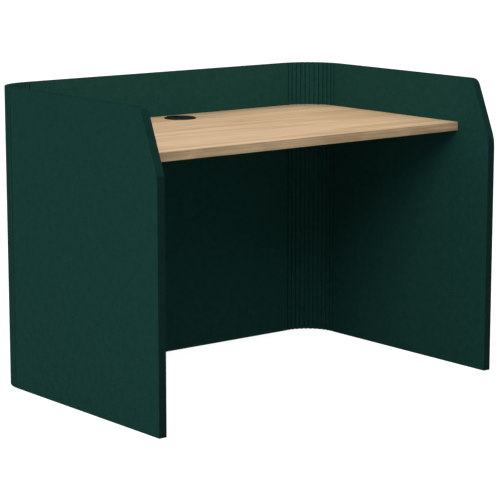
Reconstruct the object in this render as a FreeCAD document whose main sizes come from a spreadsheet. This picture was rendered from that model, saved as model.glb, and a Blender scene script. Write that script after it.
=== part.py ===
"""Study carrel: a felt-board screen that wraps round a desk on three sides and stands on the floor.

Origin on the floor under the middle of the carrel, +X to the user's right, +Y to the back, +Z up.
Lengths are millimetres and angles are degrees.
"""
import FreeCAD, Part
import math
import os

import Sketcher

DIMENSIONS = {
    # Screen
    "overall_width": 1200,
    "overall_depth": 800,
    "overall_height": 850,
    "board_thickness": 24,
    "corner_radius": 100,  # inner radius of the two rear corners
    "chamfer_back": 70,  # how far the cut front corner reaches back along the top
    "chamfer_down": 170,  # and down the front edge
    "chamfer_top_round": 30,
    "chamfer_front_round": 100,
    # Grooves that let the board bend
    "groove_width": 4,
    "groove_depth": 5,
    "groove_overcut": 1,  # how far the cutter's outline stands clear of the face
    "inner_grooves": 12,
    "outer_grooves": 12,
    # Tongues that join the flat boards to the corners
    "tongue_thickness": 4,
    "tongue_width": 12,
    "tongue_inset": 16.5,  # from the inner face to the middle of the tongue
    "tongue_end_margin": 40,
    # Desk
    "desk_height": 720,
    "desk_thickness": 25,
    "desk_setback": 126,  # from the front of the screen to the front of the desk
    "desk_clearance": 1,
    "laminate_thickness": 0.8,
    "front_band_thickness": 2,
    "rear_band_thickness": 1,
    "band_edge_round": 1,
    # Support rails, folded from sheet steel
    "rail_leg": 30,
    "rail_thickness": 3,
    "rail_bend_radius": 5,  # outside of the fold
    "rail_hole_inset": 17,  # from the fold's outer face to the hole axes
    "rail_bolt_hole_radius": 3.25,
    "rail_screw_hole_radius": 2.25,
    "side_rail_length": 340,
    "side_rail_setback": 190,  # behind the desk's front edge
    "side_rail_fixings": 3,
    "back_rail_length": 700,
    "back_rail_fixings": 4,
    "bolt_end_margin": 30,
    "screw_end_margin": 55,
    # Rail bolts and their inserts
    "bolt_radius": 3,
    "bolt_length": 16,
    "bolt_head_radius": 5.25,
    "bolt_head_height": 3.3,
    "bolt_socket_flats": 4,
    "bolt_socket_depth": 2,
    "bolt_insert_radius": 5,
    "bolt_insert_bore": 3.05,
    "bolt_insert_length": 15,
    # Wood screws up into the desk
    "screw_radius": 2,
    "screw_length": 16,
    "screw_point": 3,
    "screw_head_radius": 4,
    "screw_head_height": 2.5,
    "screw_socket_flats": 2.5,
    "screw_socket_depth": 1.5,
    # Cable grommet
    "grommet_setback": 72,  # from the screen's inner face to the grommet's axis
    "desk_hole_radius": 40,
    "liner_radius": 39.9,
    "liner_bore": 37.9,
    "liner_length": 18,
    "flange_radius": 47,
    "flange_height": 3,
    "flange_round": 2,
    "cap_seat_radius": 42,
    "cap_radius": 41.9,
    "cap_thickness": 2,
    "cap_edge_round": 0.5,
    "skirt_radius": 37.7,
    "skirt_thickness": 2,
    "skirt_depth": 7,
    "pivot_boss_radius": 3,
    "pivot_boss_depth": 1.9,
    "notch_half_width": 12,
    "notch_start": 14,  # from the cap's axis to the inner end of the cable notch
    "notch_round": 8,
    "shutter_half_width": 13,
    "shutter_radius": 34.5,
    "shutter_thickness": 1.5,
    "shutter_gap": 0.2,
    "shutter_bore": 3.05,
    "pivot_pin_radius": 1.5,
    "pivot_pin_length": 2.9,
    "pivot_head_radius": 5.5,
    "pivot_head_height": 1.5,
    # Levelling feet, wound fully in
    "foot_end_inset": 70,  # from the front of a side board to its front foot
    "foot_rear_inset": 476,
    "foot_back_offset": 380,  # each side of the middle, under the back board
    "foot_pad_radius": 8,
    "foot_pad_height": 5,
    "foot_pad_round": 1,
    "foot_recess_radius": 9,
    "foot_recess_depth": 5.2,
    "foot_stem_radius": 4,
    "foot_stem_length": 31,
    "foot_stem_embed": 3,
    "foot_insert_radius": 6,
    "foot_insert_bore": 4.05,
    "foot_insert_length": 30,
}

document = FreeCAD.newDocument("study_carrel")
sheet = document.addObject("Spreadsheet::Sheet", "dims")
for row, (alias, number) in enumerate(DIMENSIONS.items(), start=1):
    sheet.set(f"A{row}", str(number))
    sheet.setAlias(f"A{row}", alias)
document.recompute()

# Distances that several pieces share, as expressions on the sheet.
HALF_WIDTH = "dims.overall_width / 2"
HALF_DEPTH = "dims.overall_depth / 2"
INNER_HALF_WIDTH = f"({HALF_WIDTH} - dims.board_thickness)"
INNER_BACK = f"({HALF_DEPTH} - dims.board_thickness)"
CORNER_X = f"({INNER_HALF_WIDTH} - dims.corner_radius)"
CORNER_Y = f"({INNER_BACK} - dims.corner_radius)"
TONGUE_LENGTH = "(dims.overall_height - 2 * dims.tongue_end_margin)"
TONGUE_HALF = "dims.tongue_width / 2"
DESK_FRONT = f"(dims.desk_setback - {HALF_DEPTH})"
DESK_BOTTOM = "(dims.desk_height - dims.desk_thickness)"
RAIL_HOLE_HEIGHT = f"({DESK_BOTTOM} - dims.rail_hole_inset)"
SIDE_RAIL_Y = f"({DESK_FRONT} + dims.side_rail_setback + dims.side_rail_length / 2)"
GROMMET_Y = f"({INNER_BACK} - dims.grommet_setback)"
SEAT_HEIGHT = "(dims.flange_height - dims.cap_thickness)"
SIDES = {"left": -1, "right": 1}
ORIGIN = FreeCAD.Vector(0, 0, 0)
UP = FreeCAD.Vector(0, 0, 1)
TOUCHING = 0.01  # closer than this, two points are the same
CUBIC_CENTIMETRE = 1000

subparts = []


def value(expression):
    """The number that an expression on the sheet gives."""
    return float(sheet.evalExpression(expression.replace("dims.", "")))


def bind(item, **expressions):
    """Binds properties to expressions; a double underscore stands for the dot in a path."""
    for path, expression in expressions.items():
        item.setExpression(path.replace("__", "."), expression)


def place(item, x="0", y="0", z="0", rotation=None):
    """Puts an object at a point given by expressions, turned by a rotation."""
    if rotation is not None:
        item.Placement = FreeCAD.Placement(ORIGIN, rotation)
    bind(item, Placement__Base__x=x, Placement__Base__y=y, Placement__Base__z=z)


def subpart(kind, name):
    """A new sub-part, whose label is its name."""
    item = document.addObject(kind, name)
    item.Label = name
    subparts.append(item)
    return item


def new_body(name):
    return subpart("PartDesign::Body", name)


def origin_feature(body, role):
    return next(item for item in body.Origin.OriginFeatures if item.Role == role)


def outline(body, plane, corners):
    """A closed sketch on an origin plane of the body.

    Each corner is (x, y), reached by a line, or (x, y, radius, turn), reached by an arc under half a turn,
    counter-clockwise where turn is 1 and clockwise where it is -1. All but turn are expressions.
    """
    sketch = body.newObject("Sketcher::SketchObject", f"{body.Name}_sketch")
    sketch.AttachmentSupport = [(origin_feature(body, plane), "")]
    sketch.MapMode = "FlatFace"
    points = [FreeCAD.Vector(value(corner[0]), value(corner[1]), 0) for corner in corners]
    ends = []
    for index, corner in enumerate(corners):
        start, end = points[index - 1], points[index]
        if len(corner) == 2:
            edge = sketch.addGeometry(Part.LineSegment(start, end), False)
            ends.append((edge, 1, 2))
            continue
        radius, turn = value(corner[2]), corner[3]
        chord = end - start
        rise = math.sqrt(max(radius**2 - chord.Length**2 / 4, 0))
        left = FreeCAD.Vector(-chord.y, chord.x, 0).normalize()
        centre = (start + end) / 2 + left * turn * rise
        first, last = (start, end) if turn > 0 else (end, start)
        angles = [math.atan2(point.y - centre.y, point.x - centre.x) for point in (first, last)]
        if angles[1] < angles[0]:
            angles[1] += 2 * math.pi
        arc = Part.ArcOfCircle(Part.Circle(centre, UP, radius), *angles)
        edge = sketch.addGeometry(arc, False)
        ends.append((edge, 1, 2) if turn > 0 else (edge, 2, 1))
        bound = sketch.addConstraint(Sketcher.Constraint("Radius", edge, radius))
        sketch.setExpression(f"Constraints[{bound}]", corner[2])
    for index, corner in enumerate(corners):
        edge, _, finish = ends[index]
        following, begin, _ = ends[(index + 1) % len(corners)]
        sketch.addConstraint(Sketcher.Constraint("Coincident", edge, finish, following, begin))
        for kind, axis, distance in (("DistanceX", -2, corner[0]), ("DistanceY", -1, corner[1])):
            if distance == "0":
                sketch.addConstraint(Sketcher.Constraint("PointOnObject", edge, finish, axis))
                continue
            limit = Sketcher.Constraint(kind, -1, 1, edge, finish, value(distance))
            bound = sketch.addConstraint(limit)
            sketch.setExpression(f"Constraints[{bound}]", distance)
    return sketch


def extrude(body, kind, sketch, length, reverse=False, symmetric=False):
    """A Pad or Pocket of the sketch."""
    feature = body.newObject(f"PartDesign::{kind}", f"{body.Name}_{kind.lower()}")
    feature.Profile = sketch
    feature.Reversed = reverse
    if symmetric:
        feature.SideType = "Symmetric"
    bind(feature, Length=length)
    return feature


def revolve(body, corners):
    """A full turn about the body's Z axis of an outline on its XZ plane."""
    feature = body.newObject("PartDesign::Revolution", f"{body.Name}_turned")
    feature.Profile = outline(body, "XZ_Plane", corners)
    feature.ReferenceAxis = (origin_feature(body, "Z_Axis"), [""])
    feature.Angle = 360


def round_edges(body, wanted, radius):
    """Rounds the edges of the body's last feature that the test picks."""
    document.recompute()
    base = body.Tip
    names = [f"Edge{number}" for number, edge in enumerate(base.Shape.Edges, start=1) if wanted(edge)]
    feature = body.newObject("PartDesign::Fillet", f"{body.Name}_round")
    feature.Base = (base, names)
    bind(feature, Radius=radius)


def cut_box(body, size, corner):
    """Cuts a box with its lowest corner at the given point."""
    feature = body.newObject("PartDesign::SubtractiveBox", f"{body.Name}_slot")
    bind(feature, Length=size[0], Width=size[1], Height=size[2])
    place(feature, *corner)


def cut_hole(body, radius, depth, start, direction=UP):
    """Cuts a round hole that starts at the given point and runs along direction."""
    feature = body.newObject("PartDesign::SubtractiveCylinder", f"{body.Name}_hole")
    bind(feature, Radius=radius, Height=depth)
    place(feature, *start, rotation=FreeCAD.Rotation(UP, direction))
    return feature


def row_of(body, features, axis, length, count):
    """Repeats features along an axis of the body, the last one at the given length."""
    pattern = body.newObject("PartDesign::LinearPattern", f"{body.Name}_row")
    pattern.Originals = features
    pattern.Direction = (origin_feature(body, axis), [""])
    bind(pattern, Length=length, Occurrences=count)
    body.Tip = pattern


def fan_of(body, feature, angle, count):
    """Repeats a feature about the body's Z axis, the last one at the given angle."""
    pattern = body.newObject("PartDesign::PolarPattern", f"{body.Name}_fan")
    pattern.Originals = [feature]
    pattern.Axis = (origin_feature(body, "Z_Axis"), [""])
    bind(pattern, Angle=angle, Occurrences=count)
    body.Tip = pattern


def group(name, master, spots):
    """One sub-part of separate copies of master, each spot being (x, y, z, direction of its Z axis)."""
    copies = []
    for number, (x, y, z, direction) in enumerate(spots, start=1):
        copy = document.addObject("App::Link", f"{name}_{number}")
        copy.LinkedObject = master
        place(copy, x, y, z, FreeCAD.Rotation(UP, direction))
        copies.append(copy)
    subpart("Part::Compound", name).Links = copies


# ---------------------------------------------------------------- screen


def tongue_slot(body, x, y, along):
    """A stopped slot for half a tongue, centred on (x, y) and as deep as half its width along an axis."""
    deep, thick = TONGUE_HALF, "dims.tongue_thickness"
    size = (deep, thick) if along == "x" else (thick, deep)
    corner = (f"{x} - {size[0]} / 2", f"{y} - {size[1]} / 2", "dims.tongue_end_margin")
    cut_box(body, (*size, TONGUE_LENGTH), corner)


def foot_holes(body, start, axis, spacing):
    """A pad recess and an insert hole up into the board's bottom edge, twice."""
    recess = cut_hole(body, "dims.foot_recess_radius", "dims.foot_recess_depth", (*start, "0"))
    depth = "dims.foot_recess_depth + dims.foot_insert_length"
    hole = cut_hole(body, "dims.foot_insert_radius", depth, (*start, "0"))
    row_of(body, [recess, hole], axis, spacing, "2")


def insert_holes(body, start, direction, axis, length, count):
    """A row of blind holes in the inner face for the rail bolts' inserts."""
    hole = cut_hole(body, "dims.bolt_insert_radius", "dims.bolt_insert_length", start, direction)
    row_of(body, [hole], axis, f"{length} - 2 * dims.bolt_end_margin", count)


def side_board(side, sign):
    """A flat side board with its front top corner cut off; local x is 0 on the inner face."""
    body = new_body(f"{side}_side_board")
    place(body, x=f"{sign} * {INNER_HALF_WIDTH}")
    front = f"-{HALF_DEPTH}"
    board = outline(
        body,
        "YZ_Plane",
        [
            (front, "0"),
            (CORNER_Y, "0"),
            (CORNER_Y, "dims.overall_height"),
            (f"dims.chamfer_back - {HALF_DEPTH}", "dims.overall_height"),
            (front, "dims.overall_height - dims.chamfer_down"),
        ],
    )
    extrude(body, "Pad", board, "dims.board_thickness", reverse=sign < 0)
    chamfer_back = value(f"dims.chamfer_back - {HALF_DEPTH}")
    chamfer_foot = value("dims.overall_height - dims.chamfer_down")

    def across_at(y, z):
        """A test for the edge through the board at (y, z)."""

        def wanted(edge):
            spots = [vertex.Point for vertex in edge.Vertexes]
            return all(math.hypot(spot.y - y, spot.z - z) < TOUCHING for spot in spots)

        return wanted

    top = value("dims.overall_height")
    round_edges(body, across_at(chamfer_back, top), "dims.chamfer_top_round")
    round_edges(body, across_at(-value(HALF_DEPTH), chamfer_foot), "dims.chamfer_front_round")
    step = f"{CORNER_Y} - dims.groove_width / 2"
    floor = f"{sign} * dims.groove_depth"
    half_groove = outline(
        body, "XY_Plane", [("0", CORNER_Y), ("0", step), (floor, step), (floor, CORNER_Y)]
    )
    extrude(body, "Pocket", half_groove, "dims.overall_height", reverse=True)
    middle = f"{sign} * dims.tongue_inset"
    tongue_slot(body, middle, f"{CORNER_Y} - {TONGUE_HALF} / 2", "y")
    outward = FreeCAD.Vector(sign, 0, 0)
    first = f"{SIDE_RAIL_Y} - dims.side_rail_length / 2 + dims.bolt_end_margin"
    start = ("0", first, RAIL_HOLE_HEIGHT)
    insert_holes(body, start, outward, "Y_Axis", "dims.side_rail_length", "dims.side_rail_fixings")
    foot = (f"{sign} * dims.board_thickness / 2", f"dims.foot_end_inset - {HALF_DEPTH}")
    foot_holes(body, foot, "Y_Axis", "dims.foot_rear_inset")


def back_board():
    """The flat back board; local y is 0 on the inner face."""
    body = new_body("back_board")
    place(body, y=INNER_BACK)
    left = f"-{CORNER_X}"
    board = outline(
        body,
        "XY_Plane",
        [(left, "0"), (CORNER_X, "0"), (CORNER_X, "dims.board_thickness"), (left, "dims.board_thickness")],
    )
    extrude(body, "Pad", board, "dims.overall_height")
    for sign in SIDES.values():
        end = f"{sign} * {CORNER_X}"
        step = f"{end} - {sign} * dims.groove_width / 2"
        half_groove = outline(
            body,
            "XY_Plane",
            [(end, "0"), (end, "dims.groove_depth"), (step, "dims.groove_depth"), (step, "0")],
        )
        extrude(body, "Pocket", half_groove, "dims.overall_height", reverse=True)
        tongue_slot(body, f"{end} - {sign} * {TONGUE_HALF} / 2", "dims.tongue_inset", "x")
    start = ("dims.bolt_end_margin - dims.back_rail_length / 2", "0", RAIL_HOLE_HEIGHT)
    outward = FreeCAD.Vector(0, 1, 0)
    insert_holes(body, start, outward, "X_Axis", "dims.back_rail_length", "dims.back_rail_fixings")
    foot = ("-dims.foot_back_offset", "dims.board_thickness / 2")
    foot_holes(body, foot, "X_Axis", "2 * dims.foot_back_offset")


def rear_corner(side, sign):
    """A quarter turn of board, grooved inside and out; local Z is the axis of the bend."""
    body = new_body(f"{side}_rear_corner")
    quarter = FreeCAD.Rotation(UP, 0 if sign > 0 else 90)
    place(body, f"{sign} * {CORNER_X}", CORNER_Y, "0", quarter)
    inner = "dims.corner_radius"
    outer = "(dims.corner_radius + dims.board_thickness)"
    sector = [(inner, "0", inner, -1), (outer, "0"), ("0", outer, outer, 1), ("0", inner)]
    extrude(body, "Pad", outline(body, "XY_Plane", sector), "dims.overall_height")
    half_groove = "dims.groove_width / 2"

    def groove(floor, mouth, first_angle, last_angle, count):
        """A square groove the full height of the board, repeated round the bend."""
        slot = [
            (mouth, f"-{half_groove}"),
            (floor, f"-{half_groove}"),
            (floor, half_groove),
            (mouth, half_groove),
        ]
        sketch = outline(body, "XY_Plane", slot)
        sketch.AttachmentOffset = FreeCAD.Placement(ORIGIN, FreeCAD.Rotation(UP, value(first_angle)))
        sketch.setExpression("AttachmentOffset.Rotation.Angle", first_angle)
        cut = extrude(body, "Pocket", sketch, "dims.overall_height", reverse=True)
        fan_of(body, cut, last_angle, count)

    floor = f"{inner} + dims.groove_depth"
    mouth = f"{inner} - dims.groove_overcut"
    groove(floor, mouth, "0", "90", "dims.inner_grooves")
    floor = f"{outer} - dims.groove_depth"
    mouth = f"{outer} + dims.groove_overcut"
    sweep = "90 * (dims.outer_grooves - 1) / dims.outer_grooves"
    groove(floor, mouth, "45 / dims.outer_grooves", sweep, "dims.outer_grooves")
    middle = f"({inner} + dims.tongue_inset)"
    tongue_slot(body, middle, f"{TONGUE_HALF} / 2", "y")
    tongue_slot(body, f"{TONGUE_HALF} / 2", middle, "x")


def tongue(name, x, y, along):
    """A loose tongue, glued into the slots of a flat board and a corner."""
    item = subpart("Part::Box", name)
    size = ("dims.tongue_width", "dims.tongue_thickness")
    if along == "y":
        size = size[::-1]
    bind(item, Length=size[0], Width=size[1], Height=TONGUE_LENGTH)
    place(item, f"{x} - {size[0]} / 2", f"{y} - {size[1]} / 2", "dims.tongue_end_margin")


# ---------------------------------------------------------------- desk


def desk_layer(name, bottom, thickness):
    """One layer of the desk, cut to the core's outline, with the grommet's hole."""
    body = new_body(name)
    place(body, z=bottom)
    inset = "(dims.desk_clearance + dims.rear_band_thickness)"
    half = f"({INNER_HALF_WIDTH} - {inset})"
    rear = f"({INNER_BACK} - {inset})"
    radius = f"(dims.corner_radius - {inset})"
    front = f"({DESK_FRONT} + dims.front_band_thickness)"
    edge = [
        (f"-{half}", front),
        (half, front),
        (half, CORNER_Y),
        (CORNER_X, rear, radius, 1),
        (f"-{CORNER_X}", rear),
        (f"-{half}", CORNER_Y, radius, 1),
    ]
    extrude(body, "Pad", outline(body, "XY_Plane", edge), thickness)
    cut_hole(body, "dims.desk_hole_radius", thickness, ("0", GROMMET_Y, "0"))
    return body


def pilot_holes(body, depth):
    """Pilot holes for the screws, up from the layer's underside."""
    for x, y in screw_spots():
        cut_hole(body, "dims.screw_radius", depth, (x, y, "0"))


def front_band():
    """The thick band on the desk's visible front edge."""
    body = new_body("desk_front_band")
    half = f"({INNER_HALF_WIDTH} - dims.desk_clearance)"
    place(body, f"-{half}", DESK_FRONT, DESK_BOTTOM)
    strip = body.newObject("PartDesign::AdditiveBox", "desk_front_strip")
    size = {"Length": f"2 * {half}", "Width": "dims.front_band_thickness", "Height": "dims.desk_thickness"}
    bind(strip, **size)

    def front_long_edge(edge):
        return edge.Length > value(half) and all(vertex.Y < TOUCHING for vertex in edge.Vertexes)

    round_edges(body, front_long_edge, "dims.band_edge_round")


def rear_band():
    """One thin band round the left, back and right edges of the desk."""
    body = new_body("desk_rear_band")
    place(body, z=DESK_BOTTOM)
    front = f"({DESK_FRONT} + dims.front_band_thickness)"
    inset = "(dims.desk_clearance + dims.rear_band_thickness)"
    half, rear, radius = (f"({base} - dims.desk_clearance)" for base in edge_bases())
    inner_half, inner_rear, inner_radius = (f"({base} - {inset})" for base in edge_bases())
    edge = [
        (half, front),
        (half, CORNER_Y),
        (CORNER_X, rear, radius, 1),
        (f"-{CORNER_X}", rear),
        (f"-{half}", CORNER_Y, radius, 1),
        (f"-{half}", front),
        (f"-{inner_half}", front),
        (f"-{inner_half}", CORNER_Y),
        (f"-{CORNER_X}", inner_rear, inner_radius, -1),
        (CORNER_X, inner_rear),
        (inner_half, CORNER_Y, inner_radius, -1),
        (inner_half, front),
    ]
    extrude(body, "Pad", outline(body, "XY_Plane", edge), "dims.desk_thickness")


def edge_bases():
    """Half width, back and corner radius of the space inside the screen."""
    return INNER_HALF_WIDTH, INNER_BACK, "dims.corner_radius"


# ---------------------------------------------------------------- rails and fixings


def fixing_steps(length, count, margin):
    """Positions of fixings along a rail, from its middle, as expressions."""
    total = round(value(count))
    span = f"({length} - 2 * {margin})"
    return [f"({span} * {step / (total - 1) - 0.5})" for step in range(total)]


def rail_spots(margin, offset):
    """(x, y, outward direction) of every fixing with its axis offset inwards from the board's face."""
    spots = []
    for sign in SIDES.values():
        x = f"{sign} * ({INNER_HALF_WIDTH} - {offset})"
        for step in fixing_steps("dims.side_rail_length", "dims.side_rail_fixings", margin):
            spots.append((x, f"{SIDE_RAIL_Y} + {step}", FreeCAD.Vector(sign, 0, 0)))
    for step in fixing_steps("dims.back_rail_length", "dims.back_rail_fixings", margin):
        spots.append((step, f"{INNER_BACK} - {offset}", FreeCAD.Vector(0, 1, 0)))
    return spots


def screw_spots():
    spots = rail_spots("dims.screw_end_margin", "dims.rail_hole_inset")
    return [(x, y) for x, y, _ in spots]


def support_rail(name, sign, length, count, x, y):
    """A folded angle under the desk: one leg on the board, one leg under the desk.

    Local z is 0 on the desk's underside, and the board's face is at local 0 across the rail.
    """
    body = new_body(name)
    place(body, x, y, DESK_BOTTOM)
    across_x = sign != 0
    way = sign or 1
    plane = "XZ_Plane" if across_x else "YZ_Plane"
    leg = f"{-way} * dims.rail_leg"
    fold = f"{-way} * dims.rail_bend_radius"
    skin = f"{-way} * dims.rail_thickness"
    inner_fold = "(dims.rail_bend_radius - dims.rail_thickness)"
    profile = [
        (leg, "0"),
        (fold, "0"),
        ("0", "-dims.rail_bend_radius", "dims.rail_bend_radius", -way),
        ("0", "-dims.rail_leg"),
        (skin, "-dims.rail_leg"),
        (skin, "-dims.rail_bend_radius"),
        (fold, "-dims.rail_thickness", inner_fold, way),
        (leg, "-dims.rail_thickness"),
    ]
    extrude(body, "Pad", outline(body, plane, profile), length, symmetric=True)
    inwards = FreeCAD.Vector(-way, 0, 0) if across_x else FreeCAD.Vector(0, -way, 0)
    axis = "Y_Axis" if across_x else "X_Axis"
    holes = (
        ("dims.rail_bolt_hole_radius", "dims.bolt_end_margin", "0", "-dims.rail_hole_inset", inwards),
        (
            "dims.rail_screw_hole_radius",
            "dims.screw_end_margin",
            f"{-way} * dims.rail_hole_inset",
            "-dims.rail_thickness",
            UP,
        ),
    )
    for radius, margin, offset, height, direction in holes:
        first = f"{margin} - {length} / 2"
        start = (offset, first, height) if across_x else (first, offset, height)
        hole = cut_hole(body, radius, "dims.rail_thickness", start, direction)
        row_of(body, [hole], axis, f"{length} - 2 * {margin}", count)


def master_body(name):
    """A body that is copied into a group and isn't a sub-part itself."""
    return document.addObject("PartDesign::Body", name)


def hex_socket(body, flats, depth, top):
    """A hexagon socket cut down from the top of a head, centred on the axis."""
    half = f"{flats} / 2"
    side = f"{flats} / sqrt(3)"
    corners = [
        (side, "0"),
        (f"{side} / 2", half),
        (f"-{side} / 2", half),
        (f"-{side}", "0"),
        (f"-{side} / 2", f"-{half}"),
        (f"{side} / 2", f"-{half}"),
    ]
    sketch = outline(body, "XY_Plane", corners)
    sketch.setExpression("AttachmentOffset.Base.z", top)
    extrude(body, "Pocket", sketch, depth, reverse=value(top) < 0)


def bolt_master():
    """A button-head bolt with its head above z = 0 and its shank below."""
    body = master_body("rail_bolt")
    head, shank = "dims.bolt_head_radius", "dims.bolt_radius"
    crown = f"({head}^2 + dims.bolt_head_height^2) / (2 * dims.bolt_head_height)"
    profile = [
        ("0", "dims.bolt_head_height", crown, 1),
        ("0", "-dims.bolt_length"),
        (shank, "-dims.bolt_length"),
        (shank, "0"),
        (head, "0"),
    ]
    revolve(body, profile)
    hex_socket(body, "dims.bolt_socket_flats", "dims.bolt_socket_depth", "dims.bolt_head_height")
    return body


def screw_master():
    """A pan-head wood screw that points up, with its head below z = 0."""
    body = master_body("desk_screw")
    head, shank = "dims.screw_head_radius", "dims.screw_radius"
    under = "-dims.screw_head_height"
    profile = [
        ("0", under),
        (f"{head} - dims.screw_head_height / 2", under),
        (head, f"{under} / 2", "dims.screw_head_height / 2", 1),
        (head, "0"),
        (shank, "0"),
        (shank, "dims.screw_length - dims.screw_point"),
        ("0", "dims.screw_length"),
    ]
    revolve(body, profile)
    hex_socket(body, "dims.screw_socket_flats", "dims.screw_socket_depth", under)
    return body


def sleeve_master(name, bore, radius, bottom, top):
    """A plain sleeve about the Z axis."""
    body = master_body(name)
    revolve(body, [(bore, bottom), (radius, bottom), (radius, top), (bore, top)])
    return body


def fixings():
    """The rail bolts, their inserts and the desk screws, each kind as one group."""
    bolt, screw = bolt_master(), screw_master()
    insert = sleeve_master(
        "bolt_insert", "dims.bolt_insert_bore", "dims.bolt_insert_radius", "-dims.bolt_insert_length", "0"
    )
    bolts, inserts = [], []
    for x, y, outward in rail_spots("dims.bolt_end_margin", "dims.rail_thickness"):
        bolts.append((x, y, RAIL_HOLE_HEIGHT, -outward))
    for x, y, outward in rail_spots("dims.bolt_end_margin", "0"):
        inserts.append((x, y, RAIL_HOLE_HEIGHT, -outward))
    group("rail_bolts", bolt, bolts)
    group("rail_bolt_inserts", insert, inserts)
    head_height = f"{DESK_BOTTOM} - dims.rail_thickness"
    group("desk_screws", screw, [(x, y, head_height, UP) for x, y in screw_spots()])


# ---------------------------------------------------------------- grommet


def grommet_body(name, rotation=None):
    """A body on the grommet's axis, with local z 0 on the desk's top."""
    body = new_body(name)
    place(body, "0", GROMMET_Y, "dims.desk_height", rotation)
    return body


def grommet():
    """Liner, drop-in cap with a cable notch, and a shutter that turns under the cap."""
    revolve(
        grommet_body("grommet_liner"),
        [
            ("dims.liner_bore", "-dims.liner_length"),
            ("dims.liner_radius", "-dims.liner_length"),
            ("dims.liner_radius", "0"),
            ("dims.flange_radius", "0"),
            ("dims.flange_radius", "dims.flange_height - dims.flange_round"),
            ("dims.flange_radius - dims.flange_round", "dims.flange_height", "dims.flange_round", 1),
            ("dims.cap_seat_radius", "dims.flange_height"),
            ("dims.cap_seat_radius", SEAT_HEIGHT),
            ("dims.liner_bore", SEAT_HEIGHT),
        ],
    )
    cap = grommet_body("grommet_cap")
    skirt_inside = "dims.skirt_radius - dims.skirt_thickness"
    skirt_foot = f"{SEAT_HEIGHT} - dims.skirt_depth"
    boss_foot = f"({SEAT_HEIGHT} - dims.pivot_boss_depth)"
    pin_top = f"{boss_foot} + dims.pivot_pin_length"
    revolve(
        cap,
        [
            ("dims.pivot_pin_radius", boss_foot),
            ("dims.pivot_boss_radius", boss_foot),
            ("dims.pivot_boss_radius", SEAT_HEIGHT),
            (skirt_inside, SEAT_HEIGHT),
            (skirt_inside, skirt_foot),
            ("dims.skirt_radius", skirt_foot),
            ("dims.skirt_radius", SEAT_HEIGHT),
            ("dims.cap_radius", SEAT_HEIGHT),
            ("dims.cap_radius", "dims.flange_height - dims.cap_edge_round"),
            ("dims.cap_radius - dims.cap_edge_round", "dims.flange_height", "dims.cap_edge_round", 1),
            ("0", "dims.flange_height"),
            ("0", pin_top),
            ("dims.pivot_pin_radius", pin_top),
        ],
    )
    side, start, beyond = "dims.notch_half_width", "dims.notch_start", "dims.flange_radius"
    straight = f"{start} + dims.notch_round"
    flat = f"({side} - dims.notch_round)"
    notch = [
        (side, straight, "dims.notch_round", 1),
        (side, beyond),
        (f"-{side}", beyond),
        (f"-{side}", straight),
        (f"-{flat}", start, "dims.notch_round", 1),
        (flat, start),
    ]
    extrude(cap, "Pocket", outline(cap, "XY_Plane", notch), "2 * dims.flange_radius", symmetric=True)

    shutter = grommet_body("grommet_shutter", FreeCAD.Rotation(UP, -90))
    width, radius = "dims.shutter_half_width", "dims.shutter_radius"
    shoulder = f"sqrt({radius}^2 - {width}^2)"
    leaf = [
        (width, "0", width, 1),
        (width, shoulder),
        (f"-{width}", shoulder, radius, 1),
        (f"-{width}", "0"),
        ("0", f"-{width}", width, 1),
    ]
    sketch = outline(shutter, "XY_Plane", leaf)
    underside = f"{SEAT_HEIGHT} - dims.shutter_gap - dims.shutter_thickness"
    sketch.setExpression("AttachmentOffset.Base.z", underside)
    extrude(shutter, "Pad", sketch, "dims.shutter_thickness")
    cut_hole(shutter, "dims.shutter_bore", "dims.shutter_thickness", ("0", "0", underside))

    head_foot = f"({boss_foot} - dims.pivot_head_height)"
    revolve(
        grommet_body("shutter_pivot"),
        [
            ("0", head_foot),
            ("dims.pivot_head_radius", head_foot),
            ("dims.pivot_head_radius", boss_foot),
            ("dims.pivot_pin_radius", boss_foot),
            ("dims.pivot_pin_radius", pin_top),
            ("0", pin_top),
        ],
    )


# ---------------------------------------------------------------- feet


def foot_spots():
    """(name, x, y) of each levelling foot."""
    spots = []
    for side, sign in SIDES.items():
        x = f"{sign} * ({HALF_WIDTH} - dims.board_thickness / 2)"
        front = f"(dims.foot_end_inset - {HALF_DEPTH})"
        spots.append((f"{side}_front", x, front))
        spots.append((f"{side}_rear", x, f"{front} + dims.foot_rear_inset"))
        under_back = f"{HALF_DEPTH} - dims.board_thickness / 2"
        spots.append((f"back_{side}", f"{sign} * dims.foot_back_offset", under_back))
    return spots


def levelling_foot(name, x, y):
    """A pad and the threaded stem that is moulded into it."""
    stem_foot = "dims.foot_pad_height - dims.foot_stem_embed"
    pad = new_body(f"foot_pad_{name}")
    place(pad, x, y)
    rim = "dims.foot_pad_radius"
    revolve(
        pad,
        [
            ("0", "0"),
            (f"{rim} - dims.foot_pad_round", "0"),
            (rim, "dims.foot_pad_round", "dims.foot_pad_round", 1),
            (rim, "dims.foot_pad_height"),
            ("dims.foot_stem_radius", "dims.foot_pad_height"),
            ("dims.foot_stem_radius", stem_foot),
            ("0", stem_foot),
        ],
    )
    stem = subpart("Part::Cylinder", f"foot_stem_{name}")
    bind(stem, Radius="dims.foot_stem_radius", Height="dims.foot_stem_length")
    place(stem, x, y, stem_foot)


def feet():
    """Six levelling feet and the group of threaded inserts that hold them."""
    low, high = "dims.foot_recess_depth", "dims.foot_recess_depth + dims.foot_insert_length"
    insert = sleeve_master("foot_insert", "dims.foot_insert_bore", "dims.foot_insert_radius", low, high)
    for name, x, y in foot_spots():
        levelling_foot(name, x, y)
    group("foot_inserts", insert, [(x, y, "0", UP) for _, x, y in foot_spots()])


# ---------------------------------------------------------------- the whole carrel


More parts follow.
